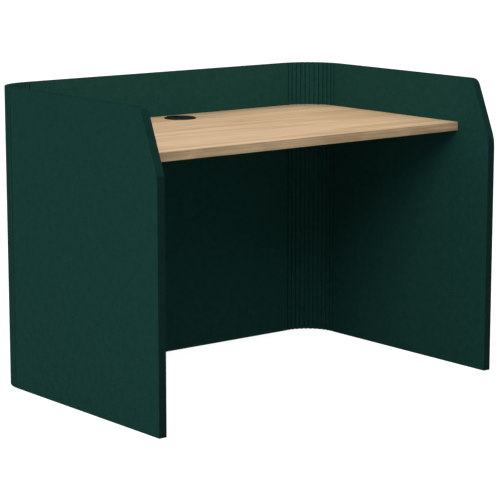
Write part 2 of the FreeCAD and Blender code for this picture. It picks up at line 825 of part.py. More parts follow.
def build():
    for side, sign in SIDES.items():
        side_board(side, sign)
        rear_corner(side, sign)
        middle = f"({INNER_HALF_WIDTH} + dims.tongue_inset)"
        tongue(f"{side}_side_tongue", f"{sign} * {middle}", CORNER_Y, "y")
        middle = f"({INNER_BACK} + dims.tongue_inset)"
        tongue(f"{side}_back_tongue", f"{sign} * {CORNER_X}", middle, "x")
    back_board()

    core_bottom = f"({DESK_BOTTOM} + dims.laminate_thickness)"
    core_thickness = "(dims.desk_thickness - 2 * dims.laminate_thickness)"
    core = desk_layer("desk_core", core_bottom, core_thickness)
    pilot_holes(core, "dims.screw_length - dims.rail_thickness - dims.laminate_thickness")
    backing = desk_layer("desk_backing_laminate", DESK_BOTTOM, "dims.laminate_thickness")
    pilot_holes(backing, "dims.laminate_thickness")
    desk_layer("desk_top_laminate", f"{core_bottom} + {core_thickness}", "dims.laminate_thickness")
    front_band()
    rear_band()

    for side, sign in SIDES.items():
        support_rail(
            f"{side}_support_rail",
            sign,
            "dims.side_rail_length",
            "dims.side_rail_fixings",
            f"{sign} * {INNER_HALF_WIDTH}",
            SIDE_RAIL_Y,
        )
    support_rail(
        "back_support_rail", 0, "dims.back_rail_length", "dims.back_rail_fixings", "0", INNER_BACK
    )
    fixings()
    grommet()
    feet()


def check_and_write():
    """Stops if any object failed or any sub-part is not sound, then writes each sub-part."""
    document.recompute()
    failed = [item.Name for item in document.Objects if {"Invalid", "Error"} & set(item.State)]
    if failed:
        raise RuntimeError(f"these objects failed: {failed}")
    for item in subparts:
        if item.Shape.isNull() or not item.Shape.isValid() or not item.Shape.Solids:
            raise RuntimeError(f"{item.Label} is not a sound solid")
    os.makedirs("parts", exist_ok=True)
    for item in subparts:
        item.Shape.exportStep(f"parts/{item.Label}.step")
        volume = item.Shape.Volume / CUBIC_CENTIMETRE
        print(f"{item.Label}: {len(item.Shape.Solids)} solid(s), {volume:.1f} cm3")


build()
check_and_write()
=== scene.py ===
import math

import bmesh
import bpy
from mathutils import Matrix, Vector, noise


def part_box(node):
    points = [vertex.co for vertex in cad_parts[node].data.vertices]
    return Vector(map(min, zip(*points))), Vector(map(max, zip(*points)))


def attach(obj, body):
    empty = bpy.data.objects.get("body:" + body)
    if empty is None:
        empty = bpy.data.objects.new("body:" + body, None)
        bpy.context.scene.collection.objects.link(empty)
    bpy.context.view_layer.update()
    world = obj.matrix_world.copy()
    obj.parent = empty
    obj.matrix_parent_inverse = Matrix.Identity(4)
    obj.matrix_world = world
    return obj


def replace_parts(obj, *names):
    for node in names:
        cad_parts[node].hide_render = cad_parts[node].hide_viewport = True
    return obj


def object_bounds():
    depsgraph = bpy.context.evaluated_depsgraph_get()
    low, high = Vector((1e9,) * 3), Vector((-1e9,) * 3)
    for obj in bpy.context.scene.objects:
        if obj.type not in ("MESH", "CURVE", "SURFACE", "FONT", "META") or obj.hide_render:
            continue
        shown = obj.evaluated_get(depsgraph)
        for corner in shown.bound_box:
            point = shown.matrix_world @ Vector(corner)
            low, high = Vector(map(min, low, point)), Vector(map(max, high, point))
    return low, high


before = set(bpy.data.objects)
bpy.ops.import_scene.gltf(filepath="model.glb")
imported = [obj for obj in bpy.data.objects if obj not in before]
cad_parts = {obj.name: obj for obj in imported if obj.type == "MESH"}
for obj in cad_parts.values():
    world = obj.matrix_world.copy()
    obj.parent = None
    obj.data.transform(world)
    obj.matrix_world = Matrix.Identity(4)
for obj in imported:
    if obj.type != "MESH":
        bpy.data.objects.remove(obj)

# Study carrel: the looks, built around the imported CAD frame. Lengths are in metres and angles
# in degrees, unless a name says otherwise. +X is to the user's right, +Y to the back, +Z up.

MM = 0.001
BODY = "carrel"
CAD_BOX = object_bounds()

SIDE_LOW, SIDE_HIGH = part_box("left_side_board")
CORNER_LOW, CORNER_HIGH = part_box("left_rear_corner")
BACK_LOW, BACK_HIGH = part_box("back_board")
BOARD = BACK_HIGH.y - BACK_LOW.y  # the felt board's thickness
TOP = BACK_HIGH.z
OUTER_RADIUS = CORNER_HIGH.y - CORNER_LOW.y
INNER_RADIUS = OUTER_RADIUS - BOARD

# The cut front corner of each side board.
CHAMFER_BACK = 70 * MM
CHAMFER_DOWN = 170 * MM
CHAMFER_TOP_ROUND = 30 * MM
CHAMFER_FRONT_ROUND = 100 * MM

# The grooves that let the rear corners bend.
GROOVES = 12
GROOVE_HALF = 2 * MM
GROOVE_DEPTH = 5 * MM
LIP_ROUND = 0.6 * MM
GROOVE_FLOOR_ROUND = 0.5 * MM
STEP_DRAFT = 0.02 * MM  # the floor of a half groove leans by this, so that no two rings meet
LEAST_LAND = 0.1  # a shorter stretch than this between two grooves is left out
LAND_STEPS = 4

# Softness of the felt's edges.
ARRIS = 0.45 * MM
ARRIS_STEPS = 3
WOBBLE = 0.05 * MM
WOBBLE_SCALE = 45  # waves per metre
LEAST_DIVISOR = 0.4  # keeps the mitre of a very sharp corner short
SQUARE_ENOUGH = 0.5  # a seam's end moves along the seam only where the outline turns off this squarely

# How finely the felt is divided, and how its faces are told apart.
EDGE_STEP = 8 * MM
LEVEL_STEP = 25 * MM
ARC_STEP = 18
TURNED_SEGMENTS = 48
SAME_PLACE = 0.001 * MM
SHARP_ANGLE = 42
FACES_UP = 0.25  # an edge face whose normal rises more than this gets the top edge's colour, painted shading for light from above

# Holes in the felt.
FOOT_CLEARANCE = 1 * MM
FOOT_HEADROOM = 0.2 * MM
CUT_MARGIN = 0.05 * MM
HOLE_SPARE = 1 * MM  # how far a bore goes past what sits in it

# Studio.
FLOOR_HALF = 60.0
FLOOR_ALBEDO = 0.35
FLOOR_GLOW_SEEN = 0.93  # what the camera sees the floor give off; it lights nothing
SKY_LOW = 0.45
SKY_HIGH = 0.2
SKY_POWER = 3.0
SKY_SEEN = 1.0
LIGHT_DISTANCE = 12.0
LIGHT_SIZE = 7.0
# Each light's bearing from the front, to the right, its height above the horizon, and its watts.
LIGHTS = {"key": (-40, 42, 660), "front": (-10, 62, 170), "rim": (180, 60, 420)}
CAMERA_PLACE = (-3.6183, -4.5306, 1.4308)
CAMERA_DOWN = 10.387
CAMERA_BEARING = 38.769  # how far the camera is turned from +Y towards +X
CAMERA_LENS_MM = 147.97
CAMERA_SENSOR_MM = 36
CAMERA_REACH = 200


# ---------------------------------------------------------------- nodes

def put(tree, value, socket):
    """Links another node's output to the socket, or sets the socket's own value."""
    if isinstance(value, bpy.types.NodeSocket):
        tree.links.new(value, socket)
    else:
        socket.default_value = value


def calc(tree, operation, a, b):
    node = tree.nodes.new("ShaderNodeMath")
    node.operation = operation
    put(tree, a, node.inputs[0])
    put(tree, b, node.inputs[1])
    return node.outputs[0]


def weighted(tree, *pairs):
    """The sum of (output, weight) pairs."""
    total = None
    for output, weight in pairs:
        part = calc(tree, "MULTIPLY", output, weight)
        total = part if total is None else calc(tree, "ADD", total, part)
    return total


def place_coordinates(tree, stretch):
    """The row frame's coordinates, in metres, times a factor for each axis."""
    coordinates = tree.nodes.new("ShaderNodeTexCoord")
    mapping = tree.nodes.new("ShaderNodeMapping")
    mapping.inputs["Scale"].default_value = stretch
    tree.links.new(coordinates.outputs["Object"], mapping.inputs["Vector"])
    return mapping.outputs[0]


def mottle(tree, scale, detail=2.0, roughness=0.5, distortion=0.0, stretch=(1, 1, 1), kind="FBM"):
    """A noise pattern; scale is in waves per metre."""
    node = tree.nodes.new("ShaderNodeTexNoise")
    node.noise_type = kind
    tree.links.new(place_coordinates(tree, stretch), node.inputs["Vector"])
    node.inputs["Scale"].default_value = scale
    node.inputs["Detail"].default_value = detail
    node.inputs["Roughness"].default_value = roughness
    node.inputs["Distortion"].default_value = distortion
    return node.outputs[0]


def grain(tree, waves, detail, roughness, distortion):
    """A noise pattern drawn out along an axis; waves are its waves per metre along X, Y and Z."""
    return mottle(tree, 1, detail, roughness, distortion, stretch=waves)


def ramp(tree, factor, stops):
    """A colour ramp over (position, colour) stops."""
    node = tree.nodes.new("ShaderNodeValToRGB")
    elements = node.color_ramp.elements
    while len(elements) < len(stops):
        elements.new(0.5)
    for element, (position, colour) in zip(elements, stops):
        element.position = position
        element.color = (*colour, 1)
    put(tree, factor, node.inputs[0])
    return node.outputs[0]


def mask(tree, factor, stops):
    """A grey ramp over (position, strength) stops."""
    return ramp(tree, factor, [(position, (strength,) * 3) for position, strength in stops])


def span(tree, value, low, high):
    """Brings a value from 0..1 to low..high."""
    node = tree.nodes.new("ShaderNodeMapRange")
    put(tree, value, node.inputs["Value"])
    node.inputs["To Min"].default_value = low
    node.inputs["To Max"].default_value = high
    return node.outputs[0]


def mix(tree, factor, a, b, blend="MIX"):
    """Blends two colours. A factor below 0 or above 1 counts as 0 or 1."""
    node = tree.nodes.new("ShaderNodeMix")
    node.data_type = "RGBA"
    node.blend_type = blend
    put(tree, factor, node.inputs[0])
    for value, socket in ((a, node.inputs[6]), (b, node.inputs[7])):
        put(tree, value if isinstance(value, bpy.types.NodeSocket) else (*value, 1), socket)
    return node.outputs[2]


def bump(tree, shader, height, strength, distance):
    node = tree.nodes.new("ShaderNodeBump")
    node.inputs["Strength"].default_value = strength
    node.inputs["Distance"].default_value = distance
    tree.links.new(height, node.inputs["Height"])
    tree.links.new(node.outputs[0], shader.inputs["Normal"])


def new_material(name):
    material = bpy.data.materials.new(name)
    material.use_nodes = True
    tree = material.node_tree
    return material, tree, tree.nodes["Principled BSDF"]


def coat(tree, shader, colour, roughness):
    """Links the colour and roughness patterns of a surface to its shader."""
    tree.links.new(colour, shader.inputs["Base Color"])
    tree.links.new(roughness, shader.inputs["Roughness"])


def scaled(colour, *factors):
    """A colour times one factor, or times one for each channel."""
    if len(factors) == 1:
        factors *= 3
    return tuple(channel * factor for channel, factor in zip(colour, factors))


# ---------------------------------------------------------------- materials

def felt_material(name, colour, contrast, sheen):
    """Pressed felt: faint clouds, clumps of fibre a few millimetres across and fine curling fibres."""
    material, tree, shader = new_material(name)
    cloud = mottle(tree, 45, detail=3, roughness=0.6)
    clump = mottle(tree, 210, detail=3, roughness=0.6)
    fibre = mottle(tree, 520, distortion=1.5, kind="RIDGED_MULTIFRACTAL")
    thread = mottle(tree, 900, roughness=0.6, distortion=2.5)
    tone = weighted(tree, (cloud, 0.25), (clump, 0.45), (thread, 0.3))
    base = ramp(tree, tone, [
        (0.36, scaled(colour, 1 - contrast)),
        (0.50, colour),
        (0.64, scaled(colour, 1 + contrast)),
    ])
    pale = tuple(0.9 * channel + 0.006 for channel in colour)
    lit = span(tree, fibre, -0.05, 0.28)
    coat(tree, shader, mix(tree, lit, base, pale), span(tree, clump, 0.86, 1.0))
    shader.inputs["Specular IOR Level"].default_value = 0.0
    shader.inputs["Sheen Weight"].default_value = sheen
    shader.inputs["Sheen Roughness"].default_value = 0.6
    shader.inputs["Sheen Tint"].default_value = (0.35, 0.75, 0.68, 1)
    height = weighted(tree, (clump, 0.6), (thread, 0.4))
    bump(tree, shader, height, strength=0.5, distance=0.6 * MM)
    return material


def oak_material(name, colour, seed, patches):
    """Oak laminate with its grain along X: growth bands and lines, fine streaks, pores and broad patches."""
    material, tree, shader = new_material(name)
    warm = grain(tree, (0.8, 5 + seed, 5 + seed), 2, 0.5, 0)
    bands = grain(tree, (1.1, 21 + seed, 40), 3, 0.55, 0.7)
    streaks = grain(tree, (5, 170 + seed, 300), 4, 0.6, 0.3)
    pores = grain(tree, (38, 1500, 1500), 2, 0.5, 0.2)
    rings = grain(tree, (0.7, 11 + seed, 30), 2, 0.45, 0.4)
    patch = grain(tree, (9, 6, 25), 2, 0.5, 0)
    tone = weighted(tree, (bands, 0.65), (streaks, 0.35))
    base = ramp(tree, tone, [
        (0.36, scaled(colour, 0.80, 0.75, 0.69)),
        (0.45, scaled(colour, 0.94, 0.92, 0.89)),
        (0.54, colour),
        (0.65, scaled(colour, 1.07, 1.07, 1.09)),
    ])
    hue = ramp(tree, warm, [(0.35, (1.0, 0.97, 0.95)), (0.65, (0.98, 1.0, 0.99))])
    tinted = mix(tree, 1.0, base, hue, "MULTIPLY")
    growth_lines = mask(tree, rings, [(0.37, 0), (0.42, 0.8), (0.46, 0), (0.51, 0), (0.55, 0.9), (0.60, 0)])
    tinted = mix(tree, growth_lines, tinted, scaled(colour, 0.78, 0.70, 0.56))
    shade = ramp(tree, patch, [
        (0.38, (1 - patches, 1 - 1.1 * patches, 1 - 1.2 * patches)),
        (0.62, (1 + 0.4 * patches,) * 3),
    ])
    tinted = mix(tree, 1.0, tinted, shade, "MULTIPLY")
    open_pores = mask(tree, pores, [(0.60, 0), (0.72, 0.35)])
    tinted = mix(tree, open_pores, tinted, scaled(colour, 0.6))
    coat(tree, shader, tinted, span(tree, streaks, 0.42, 0.62))
    shader.inputs["Specular IOR Level"].default_value = 0.35
    height = weighted(tree, (streaks, 0.5), (pores, 0.5))
    bump(tree, shader, height, strength=0.12, distance=0.25 * MM)
    return material


def plastic_material(name, colour, rough_low, rough_high, gloss):
    """Moulded plastic with a fine spark-eroded texture."""
    material, tree, shader = new_material(name)
    haze = mottle(tree, 90, detail=3)
    texture = mottle(tree, 2600)
    tint = ramp(tree, haze, [(0.3, scaled(colour, 0.8)), (0.7, scaled(colour, 1.25))])
    coat(tree, shader, tint, span(tree, haze, rough_low, rough_high))
    shader.inputs["Specular IOR Level"].default_value = gloss
    bump(tree, shader, texture, strength=0.12, distance=0.1 * MM)
    return material


def powder_coat_material(name):
    """Black powder coat with an orange-peel surface."""
    material, tree, shader = new_material(name)
    peel = mottle(tree, 900)
    dust = mottle(tree, 40, detail=3)
    tint = ramp(tree, dust, [(0.3, (0.010, 0.010, 0.011)), (0.7, (0.018, 0.018, 0.019))])
    coat(tree, shader, tint, span(tree, peel, 0.45, 0.65))
    bump(tree, shader, peel, strength=0.25, distance=0.2 * MM)
    return material


def zinc_material(name):
    """Zinc plate: bright metal with slightly cloudy patches."""
    material, tree, shader = new_material(name)
    cloud = mottle(tree, 400, detail=3)
    tint = ramp(tree, cloud, [(0.3, (0.48, 0.49, 0.51)), (0.7, (0.66, 0.67, 0.69))])
    coat(tree, shader, tint, span(tree, cloud, 0.25, 0.5))
    shader.inputs["Metallic"].default_value = 1.0
    bump(tree, shader, cloud, strength=0.1, distance=0.1 * MM)
    return material


def particleboard_material(name):
    """Raw particleboard: pale chips pressed flat, in a darker binder."""
    material, tree, shader = new_material(name)
    chips = tree.nodes.new("ShaderNodeTexVoronoi")
    chips.inputs["Scale"].default_value = 1
    tree.links.new(place_coordinates(tree, (220, 320, 600)), chips.inputs["Vector"])
    fines = mottle(tree, 700, detail=3)
    tone = weighted(tree, (chips.outputs["Distance"], 0.6), (fines, 0.5))
    tint = ramp(tree, tone, [(0.2, (0.50, 0.37, 0.22)), (0.5, (0.42, 0.29, 0.16)), (0.8, (0.24, 0.15, 0.08))])
    coat(tree, shader, tint, span(tree, fines, 0.75, 0.95))
    bump(tree, shader, tone, strength=0.4, distance=0.4 * MM)
    return material


def plywood_material(name):
    """Birch plywood strip with its grain up the strip."""
    material, tree, shader = new_material(name)
    streaks = grain(tree, (400, 400, 12), 4, 0.6, 0.5)
    tint = ramp(tree, streaks, [(0.3, (0.42, 0.29, 0.16)), (0.7, (0.60, 0.45, 0.28))])
    coat(tree, shader, tint, span(tree, streaks, 0.6, 0.8))
    bump(tree, shader, streaks, strength=0.2, distance=0.2 * MM)
    return material


def backing_material(name):
    """Plain off-white laminate with a fine pearl texture."""
    material, tree, shader = new_material(name)
    pearl = mottle(tree, 600, detail=3)
    haze = mottle(tree, 8)
    tone = weighted(tree, (pearl, 0.5), (haze, 0.5))
    tint = ramp(tree, tone, [(0.35, (0.66, 0.645, 0.60)), (0.65, (0.73, 0.715, 0.675))])
    coat(tree, shader, tint, span(tree, pearl, 0.5, 0.7))
    bump(tree, shader, pearl, strength=0.15, distance=0.15 * MM)
    return material


FELT_FACE = felt_material("felt_face", (0.0128, 0.0590, 0.0480), contrast=0.23, sheen=0.02)
FELT_CUT = felt_material("felt_cut_edge", (0.0064, 0.0230, 0.0208), contrast=0.25, sheen=0.0)
# The top edge's colour is painted shading: the cut felt again, with a tone of its own for faces that turn up,
# set to how the light from above falls on them.
FELT_TOP_PAINTED_SHADING = felt_material("felt_top_edge_painted_shading", (0.0081, 0.0318, 0.0265), contrast=0.25, sheen=0.0)
OAK = oak_material("oak_laminate", (0.655, 0.452, 0.270), seed=0, patches=0.03)
OAK_BAND = oak_material("oak_edge_band", (0.490, 0.360, 0.222), seed=9, patches=0.16)
BACKING = backing_material("backing_laminate")
PARTICLEBOARD = particleboard_material("particleboard")
PLYWOOD = plywood_material("birch_plywood")
POWDER_COAT = powder_coat_material("black_powder_coat")
ZINC = zinc_material("zinc_plate")
GROMMET_BLACK = plastic_material("black_moulded_plastic", (0.0045, 0.0045, 0.0065), 0.24, 0.36, gloss=0.22)
NYLON = plastic_material("black_nylon", (0.012, 0.012, 0.013), 0.45, 0.6, gloss=0.5)

FELT = [FELT_FACE, FELT_CUT, FELT_TOP_PAINTED_SHADING]
FACE_INDEX = 0
CUT_INDEX = 1
PAINTED_TOP_INDEX = 2


# ---------------------------------------------------------------- outlines and lofts

def filleted(points):
    """Rounds the corners of a closed outline, given as (x, y, radius)."""
    outline = []
    for i, (x, y, radius) in enumerate(points):
        here = Vector((x, y))
        if radius == 0:
            outline.append(here)
            continue
        before = Vector(points[i - 1][:2])
        after = Vector(points[(i + 1) % len(points)][:2])
        arriving = (here - before).normalized()
        leaving = (after - here).normalized()
        turn = arriving.angle_signed(leaving)
        reach = radius * math.tan(abs(turn) / 2)
        start = here - arriving * reach
        end = here + leaving * reach
        steps = max(2, math.ceil(math.degrees(abs(turn)) / ARC_STEP))
        weight = math.cos(turn / 2)
        for k in range(steps + 1):
            # A rational quadratic curve with this weight is the exact arc.
            t = k / steps
            low, mid, high = (1 - t) ** 2, 2 * t * (1 - t) * weight, t * t
            outline.append((start * low + here * mid + end * high) / (low + mid + high))
    return outline


def subdivided(outline, step):
    """Adds points along the outline's long runs."""
    result = []
    for i, here in enumerate(outline):
        after = outline[(i + 1) % len(outline)]
        result.append(here)
        pieces = math.ceil((after - here).length / step)
        result += [here.lerp(after, k / pieces) for k in range(1, pieces)]
    return result


def inward(outline, on_seam, follow_seams):
    """For each point of an anticlockwise outline, the direction in which its edge is rounded off.

    Where the outline lies on a seam with the next piece it isn't rounded, unless follow_seams is true.
    """
    count = len(outline)
    directions = []
    for i in range(count):
        normals = []
        seam = None
        for a, b in ((i - 1, i), (i, (i + 1) % count)):
            run = (outline[b] - outline[a]).normalized()
            if on_seam[a] and on_seam[b] and not follow_seams:
                seam = run
            else:
                normals.append(Vector((-run.y, run.x)))
        direction = Vector((0, 0))
        if len(normals) == 2:
            mean = normals[0] + normals[1]
            direction = mean / max(LEAST_DIVISOR, mean.length_squared / 2)
        elif len(normals) == 1:
            along = normals[0].dot(seam)
            if abs(along) > SQUARE_ENOUGH:
                direction = seam * along
        directions.append(direction)
    return directions


def arris():
    """(depth, inset) pairs that round an edge off, from the face to where the straight side starts."""
    pairs = []
    for k in range(ARRIS_STEPS + 1):
        angle = math.radians(90) * k / ARRIS_STEPS
        pairs.append((ARRIS * (1 - math.cos(angle)), ARRIS * (1 - math.sin(angle))))
    return pairs


def unevenness(x, y, z):
    """A small, smooth, repeatable departure from a perfect edge."""
    return WOBBLE * noise.noise(Vector((x, y, z)) * WOBBLE_SCALE)


def loft(name, rings, cap_index, side_index):
    """A closed solid from equal rings of points. side_index(ring, k) gives a side face's material."""
    bm = bmesh.new()
    rows = [[bm.verts.new(point) for point in ring] for ring in rings]
    count = len(rows[0])
    for r in range(len(rows) - 1):
        for k in range(count):
            after = (k + 1) % count
            corners = (rows[r][k], rows[r][after], rows[r + 1][after], rows[r + 1][k])
            bm.faces.new(corners).material_index = side_index(r, k)
    for row in (rows[0], rows[-1]):
        bm.faces.new(row).material_index = cap_index
    bmesh.ops.recalc_face_normals(bm, faces=bm.faces)
    bm.normal_update()
    for face in bm.faces:
        # Cut faces that turn upwards take the top edge's painted-shading colour.
        if face.material_index == CUT_INDEX and face.normal.z > FACES_UP:
            face.material_index = PAINTED_TOP_INDEX
    return mesh_piece(name, bm, FELT)


def mesh_piece(name, bm, materials):
    """Turns a bmesh object into a scene object."""
    mesh = bpy.data.meshes.new(name)
    bm.to_mesh(mesh)
    bm.free()
    for material in materials:
        mesh.materials.append(material)
    piece = bpy.data.objects.new(name, mesh)
    bpy.context.scene.collection.objects.link(piece)
    return piece


def soften_shading(piece):
    """Shades a piece smooth, with its sharp edges kept and its flat faces flat."""
    bm = bmesh.new()
    bm.from_mesh(piece.data)
    for face in bm.faces:
        face.smooth = True
    for edge in bm.edges:
        edge.smooth = len(edge.link_faces) == 2 and edge.calc_face_angle(0) < math.radians(SHARP_ANGLE)
    bm.to_mesh(piece.data)
    bm.free()
    modifier = piece.modifiers.new("flat_faces", "WEIGHTED_NORMAL")
    modifier.keep_sharp = True


# ---------------------------------------------------------------- the felt screen

def felt_board(name, outline, seams, to_frame):
    """A flat felt board, lofted from its inner face to its outer one.

    outline holds positions in the board's plane, anticlockwise. seams are the ends, as (u, sign), where
    it meets a corner; its inner edge there is half of a groove. to_frame(u, v, depth) gives the point.
    """
    points = subdivided(outline, EDGE_STEP)
    signs = [0] * len(points)
    for i, point in enumerate(points):
        for u, sign in seams:
            if abs(point.x - u) < SAME_PLACE:
                signs[i] = sign
    on_seam = [sign != 0 for sign in signs]
    inner_round = inward(points, on_seam, True)
    outer_round = inward(points, on_seam, False)
    # Each layer is its depth, its inset, the direction of the inset, and how far a seam is set back.
    layers = [(depth, inset, inner_round, GROOVE_HALF) for depth, inset in arris()]
    layers.append((GROOVE_DEPTH, 0, inner_round, GROOVE_HALF))
    step_ring = len(layers)
    layers.append((GROOVE_DEPTH + STEP_DRAFT, 0, outer_round, 0))
    layers += [(BOARD - depth, inset, outer_round, 0) for depth, inset in reversed(arris())]
    rings = []
    for depth, inset, directions, setback in layers:
        ring = []
        for point, sign, direction in zip(points, signs, directions):
            u, v = point + direction * (inset + unevenness(point.x, point.y, depth))
            if sign:
                u = point.x + direction.x * inset - sign * setback
            ring.append(to_frame(u, max(v, 0), depth))
        rings.append(ring)

    def side_index(ring, k):
        # The half-groove walls are cut felt but take the lighter face colour: painted light that fills the
        # shade in the groove.
        in_groove = ring < step_ring and on_seam[k] and on_seam[(k + 1) % len(points)]
        return FACE_INDEX if in_groove else CUT_INDEX

    return loft(name, rings, FACE_INDEX, side_index)


def side_outline():
    """The side board's outline, as (y, z), with its front top corner cut off."""
    front, rear = SIDE_LOW.y, SIDE_HIGH.y
    return filleted([
        (rear, 0, 0),
        (rear, TOP, 0),
        (front + CHAMFER_BACK, TOP, CHAMFER_TOP_ROUND),
        (front, TOP - CHAMFER_DOWN, CHAMFER_FRONT_ROUND),
        (front, 0, 0),
    ])


def back_outline():
    """The back board's outline, as (x, z)."""
    left, right = BACK_LOW.x, BACK_HIGH.x
    return [Vector(corner) for corner in ((right, 0), (right, TOP), (left, TOP), (left, 0))]


def polar(side, angle, radius):
    """A point round a rear corner's axis: angle 0 points to the side board and 90 to the back board."""
    a = math.radians(angle)
    return side * (BACK_HIGH.x + radius * math.cos(a)), CORNER_LOW.y + radius * math.sin(a)


def corner_face(side, radius, depth_sign, centres):
    """The points of one face of a corner, from angle 0 to 90, with a square groove at each centre."""
    floor_radius = radius + depth_sign * GROOVE_DEPTH
    lip = math.degrees(math.asin(GROOVE_HALF / radius))
    floor = math.degrees(math.asin(GROOVE_HALF / floor_radius))
    last = len(centres)
    starts = [0.0] + [centre + lip for centre in centres]
    ends = [centre - lip for centre in centres] + [90.0]
    points = []
    for i, (start, end) in enumerate(zip(starts, ends)):
        if end - start > LEAST_LAND:
            for k in range(LAND_STEPS + 1):
                angle = start + (end - start) * k / LAND_STEPS
                at_lip = (k == 0 and i > 0) or (k == LAND_STEPS and i < last)
                points.append((*polar(side, angle, radius), LIP_ROUND if at_lip else 0))
        if i == last:
            break
        centre = centres[i]
        for angle in (centre - floor, centre, centre + floor):
            if 0 <= angle <= 90:
                rounding = 0 if angle == centre else GROOVE_FLOOR_ROUND
                points.append((*polar(side, angle, floor_radius), rounding))
    return points


def rear_corner(name, side):
    """A quarter-turn felt corner, grooved inside and out, lofted from the floor to the top."""
    inner = corner_face(side, INNER_RADIUS, 1, [90 * i / (GROOVES - 1) for i in range(GROOVES)])
    outer = corner_face(side, OUTER_RADIUS, -1, [90 * (i + 0.5) / GROOVES for i in range(GROOVES)])
    path = inner + outer[::-1]
    if side > 0:
        path = path[::-1]
    points = filleted(path)
    on_seam = [
        abs(point.y - CORNER_LOW.y) < SAME_PLACE or abs(abs(point.x) - BACK_HIGH.x) < SAME_PLACE
        for point in points
    ]
    directions = inward(points, on_seam, False)
    steps = round(TOP / LEVEL_STEP)
    levels = arris()
    levels += [(TOP * k / steps, 0) for k in range(1, steps)]
    levels += [(TOP - depth, inset) for depth, inset in reversed(arris())]
    rings = []
    for height, inset in levels:
        ring = []
        for point, direction in zip(points, directions):
            u, v = point + direction * (inset + unevenness(point.x, point.y, height))
            ring.append(Vector((u, v, height)))
        rings.append(ring)

    def side_index(ring, _):
        # Between the end arrises every side face takes the face colour; on the groove walls, which are cut
        # felt, this is painted light that fills the shade in the grooves.
        at_end = ring < ARRIS_STEPS or ring >= len(levels) - 1 - ARRIS_STEPS
        return CUT_INDEX if at_end else FACE_INDEX

    return loft(name, rings, CUT_INDEX, side_index)


# ---------------------------------------------------------------- holes in the felt

def shell_boxes(node):
    """The lowest and highest corner of each separate solid of a CAD node."""
    bm = bmesh.new()
    bm.from_mesh(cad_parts[node].data)
    bmesh.ops.remove_doubles(bm, verts=bm.verts, dist=SAME_PLACE)
    seen = set()
    boxes = []
    for start in bm.verts:
        if start in seen:
            continue
        seen.add(start)
        waiting = [start]
        found = []
        while waiting:
            vertex = waiting.pop()
            found.append(vertex.co.copy())
            for edge in vertex.link_edges:
                other = edge.other_vert(vertex)
                if other not in seen:
                    seen.add(other)
                    waiting.append(other)
        low = Vector(min(point[axis] for point in found) for axis in range(3))
        high = Vector(max(point[axis] for point in found) for axis in range(3))
        boxes.append((low, high))
    bm.free()
    return boxes


def bored(piece, cutters):
    """Cuts closed shapes, given as bmesh objects, out of a felt piece."""
    for k, bm in enumerate(cutters):
        for face in bm.faces:
            face.material_index = CUT_INDEX
        cutter = mesh_piece(f"cutter_{k}", bm, FELT)
        modifier = piece.modifiers.new("bore", "BOOLEAN")
        modifier.operation = "DIFFERENCE"
        modifier.solver = "EXACT"
        modifier.object = cutter
        depsgraph = bpy.context.evaluated_depsgraph_get()
        cut = bpy.data.meshes.new_from_object(piece.evaluated_get(depsgraph))
        piece.modifiers.clear()
        piece.data = cut
        bpy.data.objects.remove(cutter)


def turned(profile, axis_point, axis):
    """A solid of revolution from (radius, height) pairs, about an axis through axis_point."""
    bm = bmesh.new()
    turn = Vector((0, 0, 1)).rotation_difference(Vector(axis)).to_matrix()
    rings = []
    for radius, height in profile:
        ring = []
        for k in range(TURNED_SEGMENTS):
            a = 2 * math.pi * k / TURNED_SEGMENTS
            local = Vector((radius * math.cos(a), radius * math.sin(a), height))
            ring.append(bm.verts.new(Vector(axis_point) + turn @ local))
        rings.append(ring)
    for low, high in zip(rings, rings[1:]):
        for k in range(TURNED_SEGMENTS):
            after = (k + 1) % TURNED_SEGMENTS
            bm.faces.new((low[k], low[after], high[after], high[k]))
    bm.faces.new(rings[0])
    bm.faces.new(rings[-1])
    bmesh.ops.recalc_face_normals(bm, faces=bm.faces)
    return bm


def block(low, high):
    """A box between two corners."""
    bm = bmesh.new()
    bmesh.ops.create_cube(bm, size=1)
    size = high - low
    middle = (high + low) / 2
    for vertex in bm.verts:
        vertex.co = Vector(c * s + m for c, s, m in zip(vertex.co, size, middle))
    return bm


def foot_bore(foot):
    """The recess for a foot's pad, and the bore above it for its stem and insert."""
    pad_low, pad_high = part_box(f"foot_pad_{foot}")
    stem_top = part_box(f"foot_stem_{foot}")[1].z
    middle = (pad_low + pad_high) / 2
    insert_low, insert_high = next(
        (low, high) for low, high in shell_boxes("foot_inserts")
        if ((low + high) / 2 - middle).xy.length < MM
    )
    recess = (pad_high.x - pad_low.x) / 2 + FOOT_CLEARANCE
    bore = (insert_high.x - insert_low.x) / 2 + CUT_MARGIN
    depth = pad_high.z + FOOT_HEADROOM
    top = max(stem_top, insert_high.z) + HOLE_SPARE
    profile = [(recess, -HOLE_SPARE), (recess, depth), (bore, depth), (bore, top)]
    return turned(profile, (middle.x, middle.y, 0), (0, 0, 1))


def insert_bores(is_near):
    """Bores for the rail bolts' inserts whose middles pass the test."""
    bores = []
    for low, high in shell_boxes("rail_bolt_inserts"):
        middle = (low + high) / 2
        if not is_near(middle):
            continue
        size = high - low
        radius = size.z / 2 + CUT_MARGIN
        length = max(size.x, size.y)
        outward = Vector((math.copysign(1, middle.x), 0, 0)) if size.x > size.y else Vector((0, 1, 0))
        start = middle - outward * length / 2
        bores.append(turned([(radius, -HOLE_SPARE), (radius, length + HOLE_SPARE)], start, outward))
    return bores


def tongue_slot(node):
    """The slot for a loose tongue, just larger than the tongue."""
    low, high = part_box(node)
    grow = Vector((CUT_MARGIN,) * 3)
    return block(low - grow, high + grow)


